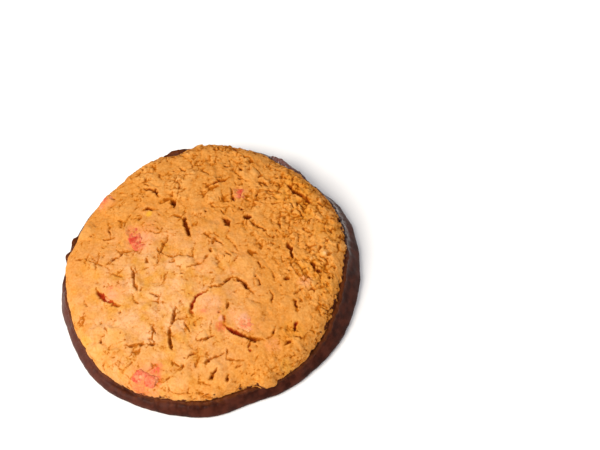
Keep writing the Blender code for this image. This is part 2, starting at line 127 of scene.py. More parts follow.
# Cracks that are placed one by one: x and y of the start, heading, length, bend, width
CRACKS = (
    # the largest, which the solids have too
    (5.3, -16.8, -40, 10.2, 28, 1.4),
    (-24.0, -6.5, -62, 7.6, 47, 1.3),
    (1.8, -8.8, -155, 7.4, 70, 1.2),
    (-5.1, -12.5, -88, 4.8, -32, 0.9),
    (-6.3, -17.0, -95, 5.6, 38, 1.0),
    (-6.8, 11.5, -60, 3.0, 55, 0.8),
    (-4.5, 10.0, -75, 5.3, 0, 1.3),
    (-7.4, 15.2, -68, 2.1, 0, 2.0),
    (-12.9, 18.6, -45, 1.9, 0, 1.6),
    (-14.8, 13.1, 5, 3.3, -15, 0.8),
    (4.2, 9.3, -50, 2.8, 0, 1.5),
    (9.3, 9.5, -15, 1.6, 0, 2.2),
    (10.8, 8.3, -40, 4.5, 12, 1.0),
    (19.0, 3.0, -62, 5.8, -28, 0.9),
    (18.4, 17.9, -40, 7.5, 0, 1.5),
    (0.0, 18.2, 36, 6.0, -28, 1.0),
    (5.6, 17.6, -68, 3.6, 0, 1.1),
    (-16.0, -20.7, -6, 6.3, 14, 0.8),
    (4.5, -8.0, 45, 3.9, -25, 0.7),
    (8.0, -5.8, -35, 5.6, -25, 0.8),
    (20.8, -11.3, -75, 3.1, 0, 0.9),
    (21.6, -16.5, -115, 2.2, 0, 1.2),
    (5.9, -23.4, -150, 5.0, 0, 0.8),
    (4.4, -27.0, -128, 2.6, 0, 1.0),
    (-11.3, -8.8, -42, 2.4, 50, 0.8),
    (-8.2, 5.7, -115, 6.0, 22, 0.7),
    (-17.0, 2.1, 190, 5.4, 35, 0.7),
    # far left of the crust
    (-14.8, 19.4, -32, 2.1, 0, 0.8),
    (-12.0, 17.6, -34, 1.5, 0, 0.9),
    (-13.0, 13.5, -25, 2.1, 20, 0.5),
    (-6.2, 19.5, -90, 3.5, 0, 0.35),
    (-7.5, 19.9, 26, 1.4, 0, 0.4),
    (-9.8, 18.5, -6, 2.3, 0, 0.4),
    (-7.2, 24.5, -39, 1.6, 0, 0.5),
    (-5.5, 22.2, 0, 2.3, 0, 0.5),
    (-3.0, 25.1, -3, 1.8, 0, 0.4),
    (-22.9, 10.8, -70, 5.0, -15, 0.5),
    (-24.0, 1.8, -97, 3.8, 0, 0.4),
    (-15.1, 11.5, -90, 1.3, 0, 0.5),
    (-4.7, 9.9, -20, 1.0, 0, 1.6),
    # far right
    (7.2, 20.4, 0, 0.8, 0, 0.9),
    (3.7, 24.5, 0, 0.8, 0, 0.8),
    (7.2, 22.8, 0, 0.8, 0, 0.8),
    (13.2, 16.8, -150, 2.3, 45, 0.6),
    (11.8, 19.4, -11, 2.0, 0, 0.4),
    (15.2, 13.1, 8, 2.3, 0, 0.4),
    (18.9, 17.3, 0, 0.7, 0, 1.2),
    (20.9, 13.5, -86, 1.5, 0, 0.6),
    (22.4, 12.8, 0, 0.6, 0, 0.7),
    (22.5, 9.8, -117, 1.1, 0, 0.6),
    (21.3, 12.0, -68, 3.0, 0, 0.7),
    (3.8, 11.6, -50, 1.6, 0, 0.7),
    (2.5, 4.2, -25, 2.9, -35, 0.6),
    (1.7, 1.3, -45, 0.9, 0, 0.6),
    (5.5, 0.5, -56, 1.8, 0, 0.6),
    (16.8, 7.8, -60, 2.0, 0, 0.5),
    (8.0, 11.6, 0, 0.7, 0, 0.7),
    (1.2, 13.5, -45, 1.8, 0, 0.5),
    (0.0, 11.8, -45, 0.8, 0, 0.7),
    # near left
    (-12.8, 0.0, -82, 1.0, 0, 0.6),
    (-16.0, -1.9, -72, 6.2, -8, 0.7),
    (-7.7, -3.7, -104, 2.8, -15, 0.6),
    (-4.3, -4.3, 0, 0.5, 0, 0.7),
    (-2.8, -3.0, 18, 3.0, 10, 0.5),
    (-9.8, -16.2, -105, 2.5, 45, 0.5),
    (-10.5, -20.8, 21, 1.0, 0, 0.8),
    (-14.2, -23.2, -73, 1.3, 0, 0.6),
    (-21.0, -16.0, -67, 1.9, 0, 0.6),
    (-21.8, -19.2, 0, 0.5, 0, 0.8),
    (-18.9, -14.2, -50, 0.9, 0, 0.5),
    (-17.6, -12.5, -50, 0.8, 0, 0.5),
    (-5.0, -28.2, 204, 2.5, 0, 0.5),
    (-3.5, -27.0, 59, 1.5, 0, 0.6),
    (-2.2, -24.1, 29, 2.3, 0, 0.6),
    (-9.8, -25.0, -27, 1.7, 0, 0.5),
    (-3.1, -15.6, -60, 3.8, -18, 0.4),
    (-1.0, -16.0, -72, 1.3, 0, 0.4),
    # near right
    (1.8, -8.0, -12, 3.5, 45, 0.35),
    (12.0, -5.5, 0, 0.5, 0, 0.7),
    (13.0, -6.2, -90, 2.0, 0, 0.5),
    (12.6, -2.0, -63, 2.2, 0, 0.4),
    (15.8, -9.4, -88, 2.6, 0, 0.6),
    (17.7, -7.9, 0, 0.5, 0, 0.6),
    (19.5, -4.5, 0, 0.6, 0, 0.6),
    (18.5, -6.5, 18, 1.3, 0, 0.6),
    (24.6, -2.0, -78, 2.7, -15, 0.9),
    (25.0, -4.4, 16, 1.3, 0, 0.8),
    (28.0, -6.0, 0, 0.6, 0, 0.7),
    (22.5, -8.6, -136, 2.1, 0, 0.9),
    (20.3, -18.5, 0, 0.5, 0, 0.5),
    (20.0, -20.8, -132, 1.4, 0, 0.9),
    (11.2, -22.9, 0, 0.6, 0, 0.8),
    (9.5, -26.1, -163, 1.1, 0, 0.5),
    (7.2, -28.0, -124, 1.8, 0, 0.7),
    (6.9, -12.2, -117, 1.2, 0, 0.5),
    (5.0, -14.2, -153, 0.6, 0, 0.5),
    (2.9, -16.0, -90, 3.0, 0, 0.35),
    (0.0, -20.5, 12, 4.0, 5, 0.6),
    (16.8, -17.8, -105, 3.4, -35, 0.5),
    (26.8, -12.5, 0, 0.5, 0, 0.6),
    (26.6, -8.1, 0, 0.5, 0, 0.6),
    (22.6, -3.5, 0, 0.5, 0, 0.6),
    (9.5, -16.0, -60, 0.9, 0, 0.8),
    # the notch in the near edge
    (16.6, -28.2, -62, 3.0, 0, 2.6),
)
CRACK_STEP = 0.8
CRACK_WANDER, CRACK_WANDER_STEP, CRACK_WANDER_SEED = 0.35, 0.9, 3.0
CRACK_BASE_DEPTH, CRACK_DEPTH_PER_WIDTH = 0.15, 0.55
# Half width of a crack at the crust: a least, and a share of its nominal width
CRACK_LEAST_HALF, CRACK_HALF_SHARE = 0.03, 0.28
# How wide a crack is at its ends, how much it frays, between which limits, and its least share
CRACK_END_SHARE = 0.25
FRAYING, FRAY_LIMITS = 1.3, (0.45, 1.7)
SLIT_SHARE = 0.3
# How far beyond half its length a crack is looked for
CRACK_REACH = 3.0
# How far a crack's wall reaches in from its edge and out past it
WALL_INSIDE, WALL_OUTSIDE = 0.18, 0.10
# Any distance from a crack that is too far to matter
FAR = 0.6
CRACK_LIP_RISE, CRACK_LIP_AWAY, CRACK_LIP_WIDTH = 0.1, 0.35, 0.45
# Added to a crack's width to give its lip's share of the full rise
LIP_FOR_NARROW = 0.2

# Lumps that are placed one by one: x and y, heading, length, breadth, rise, how calm the crust lies there
LUMPS = (
    (3.2, -11.4, 60, 9.5, 7.5, 0.4, 0.8),
    (11.2, -14.6, -25, 8.5, 6.5, 0.3, 0.5),
    (21.5, 17.6, -50, 10.5, 4.0, 0.55, 0.0),
    (-23.2, -17.0, 12, 7.0, 3.0, 0.45, 0.5),
    (14.6, -29.2, 25, 4.4, 3.2, 1.0, 0.2),
    (-12.5, -14.0, 20, 8.0, 6.0, 0.15, 0.6),
    (-4.5, 3.5, -30, 7.0, 6.0, 0.15, 0.5),
)
# Where a lump's slope starts, as a share of its half size, and how long the slope is
LUMP_TOP, LUMP_SLOPE = 0.45, 0.75

# The cherry bits, as in the solids: x, y, heading, length, breadth, thickness, how far each stands out
CHERRY_BITS = (
    (-15.6, 5.4, -62, 6.4, 4.0, 3.0, 0.2),
    (7.9, 16.0, 92, 3.8, 2.6, 2.4, 0.15),
    (-20.2, -8.1, 60, 3.9, 3.2, 2.6, 0.2),
    (2.4, -13.1, 15, 4.4, 3.4, 2.8, 0.15),
    (10.6, -16.9, -42, 5.0, 3.6, 2.8, 0.2),
    (-11.6, -28.4, -18, 6.2, 3.4, 2.8, 0.2),
    (-24.3, 17.1, 50, 4.8, 2.8, 2.6, 0.2),
)
BIT_SQUARENESS = 0.65
# How much of each bit's red is veiled by a film of dough
BIT_VEILS = (-0.15, -0.2, 0.75, 0.9, 0.6, -0.15, 0.0)
# How much lower each bit shows than in the solids, under the crust's own lumps
BIT_SINKS = (0.0, 0.08, 0.28, 0.45, 0.0, -0.12, 0.05)
# How far to both sides of a bit's middle the dome's slope is read
SLOPE_REACH = 0.5
# Where the film grows towards a bit's rim, as a share of its half size, and how much is added there
VEIL_START, VEIL_AT_RIM = 0.55, 0.7

# Where fruit juice has coloured the dough: x, y, radius, strength
JUICE_STAINS = (
    (-14.9, 5.6, 3.0, 0.6),
    (-13.0, 7.6, 2.0, 0.4),
    (7.9, 16.0, 1.7, 0.45),
    (-19.4, -7.6, 2.2, 0.5),
    (1.0, -13.8, 1.2, 0.5),
    (3.0, -13.0, 3.2, 0.18),
    (9.6, -16.2, 1.3, 0.5),
    (10.4, -17.6, 3.0, 0.22),
    (16.2, -21.8, 1.5, 0.4),
    (-9.4, -27.0, 2.0, 0.75),
    (-11.6, -28.4, 3.4, 0.6),
    (-24.4, 17.0, 2.2, 0.5),
    (0.0, -2.3, 1.5, 0.3),
    (23.2, -7.2, 1.3, 0.3),
)
# Where the dough is soaked red beside a cherry bit: x, y, radius, strength
SOAKED_SPOTS = (
    (-14.7, 3.2, 1.2, 0.7),
    (-16.9, 7.4, 1.3, 0.4),
    (-9.0, -26.5, 1.2, 0.9),
    (-8.9, -28.6, 1.3, 0.8),
    (-12.6, -29.0, 1.7, 0.6),
    (1.0, -13.8, 0.5, 0.5),
    (4.5, -14.2, 0.4, 0.5),
    (5.2, -15.6, 0.7, 0.5),
    (5.0, -17.4, 1.1, 0.7),
    (9.9, -16.3, 0.5, 0.4),
    (-20.6, -6.9, 0.8, 0.5),
    (-24.6, 17.2, 1.2, 0.6),
)
# Where juice has run down into a crack: x, y, radius
JUICE_CRACKS = (
    (6.8, -17.7, 3.0),
    (-21.8, -9.4, 3.0),
    (-1.0, -11.2, 3.0),
    (11.4, -22.9, 0.9),
    (21.4, -17.0, 0.9),
)
# Bits of peel that show yellow: x, y, radius and, where it isn't 1, strength
PEEL_SPOTS = (
    (-13.0, 12.0, 0.7),
    (-25.5, -18.4, 1.2, 0.4),
    (19.0, -26.0, 1.2, 0.3),
    (-15.0, 30.0, 1.3, 0.5),
)
# Where sugar has dried to a pale lilac film: x, y, radius, strength
MILKY_SPOTS = (
    (9.8, -16.0, 1.3, 0.5),
    (7.6, -15.0, 1.6, 0.22),
    (3.0, -12.6, 2.2, 0.12),
    (5.0, -15.6, 0.6, 0.6),
    (-13.6, 4.6, 1.7, 0.2),
    (-19.6, -8.6, 1.1, 0.25),
    (23.1, -6.8, 1.2, 0.2),
    (-12.6, -27.6, 0.9, 0.45),
)
# Where the crust has crumbled open and shows golden, coarse dough: x, y, radius, strength
CRUMBLED_SPOTS = (
    (20.5, 16.6, 4.2, 1.0),
    (22.4, 11.5, 3.2, 0.9),
    (24.6, -3.6, 3.4, 0.9),
    (27.5, -7.5, 2.6, 0.7),
    (20.6, -18.6, 2.6, 0.7),
    (28.0, 5.5, 3.6, 0.5),
)
# How soft the edge of a spot is, as a share of its radius
SOFT_SPOT, FULL_SPOT, FIRM_SPOT, CRISP_SPOT = 1.1, 1.0, 0.9, 0.8
LEAST_SPOT_EDGE = 0.01
# The palest part of the crust, near the key lamp, away from which it grows browner: partly the oven's
# browning, partly painted shade
PALE_X, PALE_Y, PALE_REACH, TOASTED_AND_SHADED_REACH = -10.0, -12.0, 4.0, 31.0

# The far edge's crinkled crust: where it starts, how far that leans with x, and over how much it grows
FAR_EDGE_START, FAR_EDGE_LEAN, FAR_EDGE_GROWTH = 9.0, 0.2, 10.0
# The +X edge's crumbly crust: where it starts, over how much it grows, its lean with y, near and far
CRUMBLY_START, CRUMBLY_GROWTH = 8.0, 12.0
CRUMBLY_NEAR_LEAN, CRUMBLY_FAR_LEAN = 0.7, 0.35
# The shoulder's: from which radius, over how much it grows, and the same along x
CRUMBLY_RADIUS, CRUMBLY_RADIUS_GROWTH = 27.0, 5.0
CRUMBLY_LEFT, CRUMBLY_LEFT_GROWTH = -20.0, 30.0
# How crumbly the crust is everywhere, at the edges and at the shoulder
CRUMBLY_LEAST, CRUMBLY_MORE, CRUMBLY_SHOULDER = 0.2, 0.8, 0.4
CRUMBLY_AT_FAR_EDGE, CRINKLED_AT_FAR_EDGE = 0.55, 0.85

# How far a seed of 1 shifts a noise along each axis
SEED_STEPS = (17.3, 5.1, 9.7)
# Added to a noise's seed for each way that points are pushed
WARP_SEEDS = (0.31, 0.67, 0.83)
# Tells the numbers of neighbouring plates apart
PLATE_NUMBER_STEP = 5.37

# Soft noises in the crust, each as its size, height and seed
SWELLS = ((17.0, 0.3, 0), (6.0, 0.22, 1))
DIMPLES = ((2.8, 0.18, 2), (1.3, 0.09, 3))
CRUMBLY_DIMPLES = ((1.3, 0.09, 3),)
FRAYS = ((1.7, 0.8, 4), (0.6, 0.6, 5))
SURFACE_GRAIN = ((0.42, 0.07, 13),)
SPOT_RAGS = ((1.3, 0.35, 20), (0.5, 0.2, 21))
CRUMBLED_RAGS = ((1.6, 0.35, 25),)
SMEAR_EDGE = ((0.9, 2.2, 22), (2.4, 1.2, 23))
ROUGH_PATCHES = ((4.2, 2.4, 24),)
PIT_PATCHES = ((3.0, 2.0, 12),)
# How lines in the crust wander: size, reach and seed
CRACK_WANDERS = ((1.8, 0.5, 1), (0.7, 0.28, 2))
PLATE_WANDERS = ((3.6, 0.8, 3), (0.9, 0.3, 5))
CRUMB_WANDERS = ((0.7, 0.3, 9),)

# Plates, large to small: size, seed, step, more where crumbly, width of the edge, share left where smooth
PLATES = (5.2, 1, 0.42, 0.0, 0.8, 1.0)
PLATELETS = (2.2, 7, 0.16, 0.24, 0.5, 0.3)
CRUMBS = (0.95, 11, 0.05, 0.28, 0.25, 0.2)
GRAINS = (0.55, 14, 0.06, 0.14, 0.15, 0.4)
CRUMBS_IF_CRUMBLED = 0.25
# Joints that broke open: patches, share, more where crinkled, half width, more where crinkled, fraying
PLATE_BREAKS = (((2.6, 3.0, 6),), 0.45, 0.0, 0.11, 0.0, 0.24)
PLATELET_BREAKS = (((1.3, 4.5, 8),), -0.45, 0.9, 0.05, 0.11, 0.16)
CRUMB_BREAKS = (((0.9, 4.5, 15),), -0.6, 0.8, 0.03, 0.07, 0.1)
# Depths of the cracks along joints, and of the pits where crumbs fell out
PLATE_CRACK_DEPTH, CRUMB_CRACK_DEPTH, PIT_DEPTH = 0.4, 0.2, 0.45
PLATELET_CRACK_DEPTH, PLATELET_CRACK_IF_CRUMBLY = 0.22, 0.20
# How rough the crust is, how much of that a calm lump takes away, and how many joints are open
ROUGH_LEAST, ROUGH_IF_CRUMBLY, CALM_SHARE = 0.15, 0.75, 0.8
OPEN_LEAST, OPEN_IF_ROUGH = 0.45, 0.8
# The number from which a crumb fell out, less where crumbly, and how sharply that turns
PIT_NUMBER, PIT_NUMBER_IF_CRUMBLY, PIT_TURN = 0.31, 0.08, 0.06
PIT_LEAST, PIT_IF_CRUMBLY, PIT_INSET = 0.2, 0.3, 0.30
# Depth at which a crack shows its brown core, partly browner dough and partly painted shade that darkens
# with depth, and how brown that is in the palest part
CORE_DEPTH, CORE_IN_PALE = 0.8, 0.35
# Depth at which juice in a crack starts, and over how much it grows
JUICE_TOP, JUICE_GROWTH = 0.1, 0.35
# How far above the rim chocolate is smeared on the crust, and how fast it fades
SMEAR_RISE, SMEAR_FADE = 0.2, 0.25

# The cup's section: how far in from the foot's edge its points lie, and how high
UNDER_INSET, SOLE_INSET, TOE_INSET, TOE_HEIGHT = 1.6, 0.7, 0.1, 0.25
ANKLE_INSET, ANKLE_RISE, WALL_HOLLOW = 0.4, 0.85, 0.1
# Points over the rim: how far in from its outside, and how far above its top
RIM_ROUND = ((-0.05, -0.6), (0.1, -0.1), (0.7, 0.05), (1.8, -0.5), (2.6, -1.4))
# Soft noises in the chocolate, read on a circle of that radius or on its face: size, height and seed
CUP_NOISE_RADIUS = 34.0
FOOT_WAVES = ((4.5, 0.16, 30), (1.4, 0.09, 31))
RIM_TEARS = ((3.4, 0.45, 32), (1.2, 0.35, 33), (0.6, 0.2, 37))
TEARS_IF_GLOSSY = 0.6
RIM_WAVES, GLOSSY_RIM_WAVES = ((2.0, 0.18, 34),), ((2.0, 0.2, 34),)
RIPPLES, GLOSSY_RIPPLES = ((4.0, 0.17, 35), (1.3, 0.06, 36)), ((1.3, 0.2, 36),)
CRUMBED_EDGE = ((0.9, 0.5, 38),)
# Where ripples start above the table, and over how much they grow
RIPPLE_START, RIPPLE_GROWTH = 0.3, 1.0
# How far below the rim gloss and crumbs reach, and over how much they fade
GLOSS_DROP, GLOSS_FADE = 1.6, 0.8
CRUMBED_DROP, CRUMBED_FADE, CRUMBED_SHARE = 0.8, 0.9, 0.7

# Soft noises in the cherry bits: size, height and seed
BIT_LUMPS = ((1.9, 0.26, 40), (0.8, 0.13, 41), (0.35, 0.05, 42))
BIT_FILM = ((2.0, 0.9, 43), (0.7, 0.7, 44))


def paint(code):
    """An sRGB hex colour as linear red, green, blue and alpha."""
    channels = [int(code[i : i + 2], 16) / 255 for i in (1, 3, 5)]
    linear = [c / 12.92 if c <= 0.04045 else ((c + 0.055) / 1.055) ** 2.4 for c in channels]
    return (*linear, 1.0)


def per_mm(size):
    """The scale that gives a procedural pattern features of that many millimetres."""
    return 1.0 / (size * METRES_PER_MM)


def smooth(value):
    """Eased step from 0 to 1."""
    t = np.clip(value, 0.0, 1.0)
    return t * t * (3 - 2 * t)


def lobed(angle, lobes):
    """The sum of smooth bumps round the edge, at angles in radians."""
    total = np.zeros_like(np.asarray(angle, dtype=float))
    for centre, half_width, height in lobes:
        away = (np.degrees(angle) - centre + 180) % 360 - 180
        total = total + height * np.exp(-((away / half_width) ** 2))
    return total


def foot_radius(angle):
    return FOOT_RADIUS + lobed(angle, OUTLINE_LOBES) + lobed(angle, FOOT_LOBES)


def rim_height(angle):
    return RIM_HEIGHT + lobed(angle, RIM_LOBES)


def crust_growth(angle):
    return BISCUIT_SHARE_OF_LOBES * lobed(angle, OUTLINE_LOBES) + lobed(angle, CRUST_LOBES)


def shoulder_centre():
    """The centre of the round that carries the dome's edge into the side, tangent to both."""
    slope = (COOKIE_HEIGHT - SHOULDER_HEIGHT) * DOME_POWER / SHOULDER_START
    normal = Vector((slope, 1.0)).normalized()
    return Vector((SHOULDER_START, SHOULDER_HEIGHT)) - SHOULDER_ROUND * normal


def dome_height(radius):
    """Height of the crust over the dome and, past its edge, down the round of the shoulder."""
    centre = shoulder_centre()
    share = np.minimum(radius / SHOULDER_START, 1.0)
    dome = COOKIE_HEIGHT - (COOKIE_HEIGHT - SHOULDER_HEIGHT) * share**DOME_POWER
    round_ = centre.y + np.sqrt(np.maximum(SHOULDER_ROUND**2 - (radius - centre.x) ** 2, 0.0))
    return np.where(radius <= SHOULDER_START, dome, round_)


def side_radius(height):
    """The biscuit's radius below its shoulder, before the outline's lobes."""
    centre = shoulder_centre()
    above = centre.x + np.sqrt(np.maximum(SHOULDER_ROUND**2 - (height - centre.y) ** 2, 0.0))
    share = np.clip((centre.y - height) / (centre.y - BISCUIT_BOTTOM_HEIGHT), 0.0, 1.0)
    widest = centre.x + SHOULDER_ROUND
    below = widest - (widest - BISCUIT_BOTTOM_RADIUS) * share**TUCK_POWER
    return np.where(height >= centre.y, above, below)


def crust_profile():
    """The biscuit's half section, from the middle of the dome over the shoulder to the bottom edge."""
    centre = shoulder_centre()
    radii = np.linspace(0, SHOULDER_START, PROFILE_STEPS)
    start = math.atan2(SHOULDER_HEIGHT - centre.y, SHOULDER_START - centre.x)
    turns = np.linspace(start, 0, PROFILE_STEPS)[1:]
    heights = np.linspace(centre.y, BISCUIT_BOTTOM_HEIGHT, PROFILE_STEPS)[1:]
    r = np.concatenate([radii, centre.x + SHOULDER_ROUND * np.cos(turns), side_radius(heights)])
    z = np.concatenate([dome_height(radii), centre.y + SHOULDER_ROUND * np.sin(turns), heights])
    return r, z


def evenly(r, z, count):
    """The same line with count + 1 points, evenly spaced along it."""
    along = np.concatenate([[0], np.cumsum(np.hypot(np.diff(r), np.diff(z)))])
    targets = np.linspace(0, along[-1], count + 1)
    return np.interp(targets, along, r), np.interp(targets, along, z)


def footprint_middle():
    """The middle of the box round the foot's outline, which is the row frame's origin."""
    angles = np.linspace(0, math.tau, FOOT_STEPS + 1)
    x, y = foot_radius(angles) * np.cos(angles), foot_radius(angles) * np.sin(angles)
    return Vector(((x.min() + x.max()) / 2, (y.min() + y.max()) / 2, 0.0))


def noise_at(points, size, seed):
    """Soft noise from -1 to 1 with features of that size, at each point."""
    shift = Vector([seed * step for step in SEED_STEPS])
    return np.array([noise.noise(Vector(p) / size + shift) for p in points])


def layered(points, layers):
    """The sum of soft noises at each point, each noise given as its size, height and seed."""
    return sum(height * noise_at(points, size, seed) for size, height, seed in layers)


def warped(points, layers):
    """The points pushed about by soft noises, so that lines drawn through them wander."""
    for size, reach, seed in layers:
        moves = [noise_at(points, size, seed + apart) for apart in WARP_SEEDS]
        points = points + reach * np.column_stack(moves)
    return points


def plates(points, size, seed):
    """For a surface broken into plates: distance to the nearest joint, and a number for each plate."""
    joint, number = np.empty(len(points)), np.empty(len(points))
    shift = Vector((seed, seed * 2, seed * 3))
    for i, p in enumerate(points):
        spot = Vector(p) / size + shift
        (near, second, _, _), (a, b, _, _) = noise.voronoi(spot)
        joint[i] = (second * second - near * near) / (2 * (b - a).length) * size
        number[i] = noise.noise(a * PLATE_NUMBER_STEP + shift)
    return joint, number


def crack_path(x, y, heading, length, bend):
    """Points along a crack: an arc that wanders a little from side to side."""
    steps = max(2, round(length / CRACK_STEP))
    path = [Vector((x, y))]
    for i in range(steps):
        turn = math.radians(heading + bend * (i + 0.5) / steps)
        step = Vector((math.cos(turn), math.sin(turn))) * length / steps
        spot = Vector((x + i * CRACK_WANDER_STEP, y, CRACK_WANDER_SEED))
        wander = noise.noise(spot) * CRACK_WANDER
        aside = Vector((-step.y, step.x)).normalized() * wander
        path.append(path[-1] + step + aside)
    return np.array(path)


def distance_to_path(points, path):
    """(distance, share of the way along) from each point to a line of straight pieces."""
    away = np.full(len(points), np.inf)
    share = np.zeros(len(points))
    for i, (a, b) in enumerate(zip(path, path[1:])):
        run = b - a
        t = np.clip((points - a) @ run / (run @ run), 0.0, 1.0)
        d = np.linalg.norm(points - a - t[:, None] * run, axis=1)
        closer = d < away
        away[closer] = d[closer]
        share[closer] = (i + t[closer]) / (len(path) - 1)
    return away, share


def crack_bed(gap):
    """How far down its wall a crack is, from 0 at the top to 1 on its bed."""
    return 1 - smooth((gap + WALL_INSIDE) / (WALL_INSIDE + WALL_OUTSIDE))


def placed_cracks(plan, frays):
    """The placed cracks: distance to the nearest edge, less than 0 inside, depth, and rise of the lips."""
    gap, depth, lip = np.full(len(plan), FAR), np.zeros(len(plan)), np.zeros(len(plan))
    for x, y, heading, length, bend, width in CRACKS:
        path = crack_path(x, y, heading, length, bend)
        near = np.linalg.norm(plan - path.mean(axis=0), axis=1) < length / 2 + CRACK_REACH
        away, share = distance_to_path(plan[near], path)
        ends = np.clip(4 * share * (1 - share) + CRACK_END_SHARE, 0.0, 1.0)
        taper = ends * np.clip(1.0 + FRAYING * frays[near], *FRAY_LIMITS)
        half = (CRACK_LEAST_HALF + CRACK_HALF_SHARE * width) * (SLIT_SHARE + (1 - SLIT_SHARE) * taper)
        from_edge = away - half
        gap[near] = np.minimum(gap[near], from_edge)
        bed = (CRACK_BASE_DEPTH + CRACK_DEPTH_PER_WIDTH * width) * taper * crack_bed(from_edge)
        depth[near] = np.maximum(depth[near], bed)
        raised = CRACK_LIP_RISE * np.exp(-(((from_edge - CRACK_LIP_AWAY) / CRACK_LIP_WIDTH) ** 2))
        lip[near] = np.maximum(lip[near], raised * min(1.0, width + LIP_FOR_NARROW))
    return gap, depth, lip


def joint_gap(joint, broken, half):
    """Distance from the edge of a joint between plates, which counts as far where it hasn't broken open."""
    return joint + FAR * (1 - broken) - half * broken


def placed_lumps(plan):
    """Rise of the lumps placed one by one, and how calm the crust lies on them."""
    rise, calm = np.zeros(len(plan)), np.zeros(len(plan))
    for x, y, heading, length, breadth, height, calmness in LUMPS:
        turn = math.radians(heading)
        along = (plan - [x, y]) @ [math.cos(turn), math.sin(turn)] / (length / 2)
        across = (plan - [x, y]) @ [-math.sin(turn), math.cos(turn)] / (breadth / 2)
        inside = 1 - smooth((np.hypot(along, across) - LUMP_TOP) / LUMP_SLOPE)
        rise = np.maximum(rise, height * inside)
        calm = np.maximum(calm, calmness * inside)
    return rise, calm


def spots(points, table, softness, ragged):
    """Strength at each point of round spots: x, y, radius and, where given, strength."""
    total = np.zeros(len(points))
    for x, y, radius, *strength in table:
        away = np.hypot(points[:, 0] - x, points[:, 1] - y) * (1 + ragged)
        spot = smooth((radius - away) / (softness * radius + LEAST_SPOT_EDGE) + 0.5)
        total = np.maximum(total, spot * (strength[0] if strength else 1.0))
    return total


def far_share(points):
    """How near the far edge a point is."""
    return smooth((points[:, 1] + FAR_EDGE_LEAN * points[:, 0] - FAR_EDGE_START) / FAR_EDGE_GROWTH)


def crumbly_share(points):
    """How crumbly the crust is: most towards the +X edge and the far edge."""
    x, y = points[:, 0], points[:, 1]
    lean = np.where(y < 0, CRUMBLY_NEAR_LEAN, CRUMBLY_FAR_LEAN)
    to_right = smooth((x + lean * y - CRUMBLY_START) / CRUMBLY_GROWTH)
    to_edge = np.maximum(to_right, CRUMBLY_AT_FAR_EDGE * far_share(points))
    shoulder = smooth((np.hypot(x, y) - CRUMBLY_RADIUS) / CRUMBLY_RADIUS_GROWTH)
    shoulder *= smooth((x - CRUMBLY_LEFT) / CRUMBLY_LEFT_GROWTH)
    return np.clip(CRUMBLY_LEAST + CRUMBLY_MORE * to_edge + CRUMBLY_SHOULDER * shoulder, 0.0, 1.0)


def crumbled_share(points):
    """How far the crust has crumbled open."""
    return spots(points, CRUMBLED_SPOTS, FULL_SPOT, layered(points, CRUMBLED_RAGS))


def toasted_and_shaded_share(points):
    """How brown the crust is: least at its palest part, most at the far edges; partly the oven's browning,
    partly painted light, paler where the key lamp falls.
    """
    away = np.hypot(points[:, 0] - PALE_X, points[:, 1] - PALE_Y)
    return smooth((away - PALE_REACH) / (TOASTED_AND_SHADED_REACH - PALE_REACH))


def plate_layer(points, kind, crumbly, rough, more=0.0):
    """Plates of one size: distance to the nearest joint, each plate's number, and how far it stands up."""
    size, seed, step, if_crumbly, edge, smooth_share = kind
    joint, number = plates(points, size, seed)
    step = step + if_crumbly * crumbly + more
    return joint, number, step * number * smooth(joint / edge) * (smooth_share + (1 - smooth_share) * rough)


def broken_joints(points, joint, kind, crinkled, frays, share):
    """Distance from the edge of the cracks that opened along joints, and far where a joint stayed shut."""
    patches, least, if_crinkled, half, half_if_crinkled, fraying = kind
    broken = smooth(layered(points, patches) + least + if_crinkled * crinkled) * share
    return joint_gap(joint, broken, half + half_if_crinkled * crinkled + fraying * frays)


def pit_gap(points, joint, number, crumbly):
    """Distance from the edge of the pits that some crumbs left as they fell out."""
    fallen = smooth((number - PIT_NUMBER + PIT_NUMBER_IF_CRUMBLY * crumbly) / PIT_TURN)
    holes = fallen * smooth(layered(points, PIT_PATCHES) + PIT_LEAST + PIT_IF_CRUMBLY * crumbly)
    return joint_gap(PIT_INSET - joint, holes, 0.0)


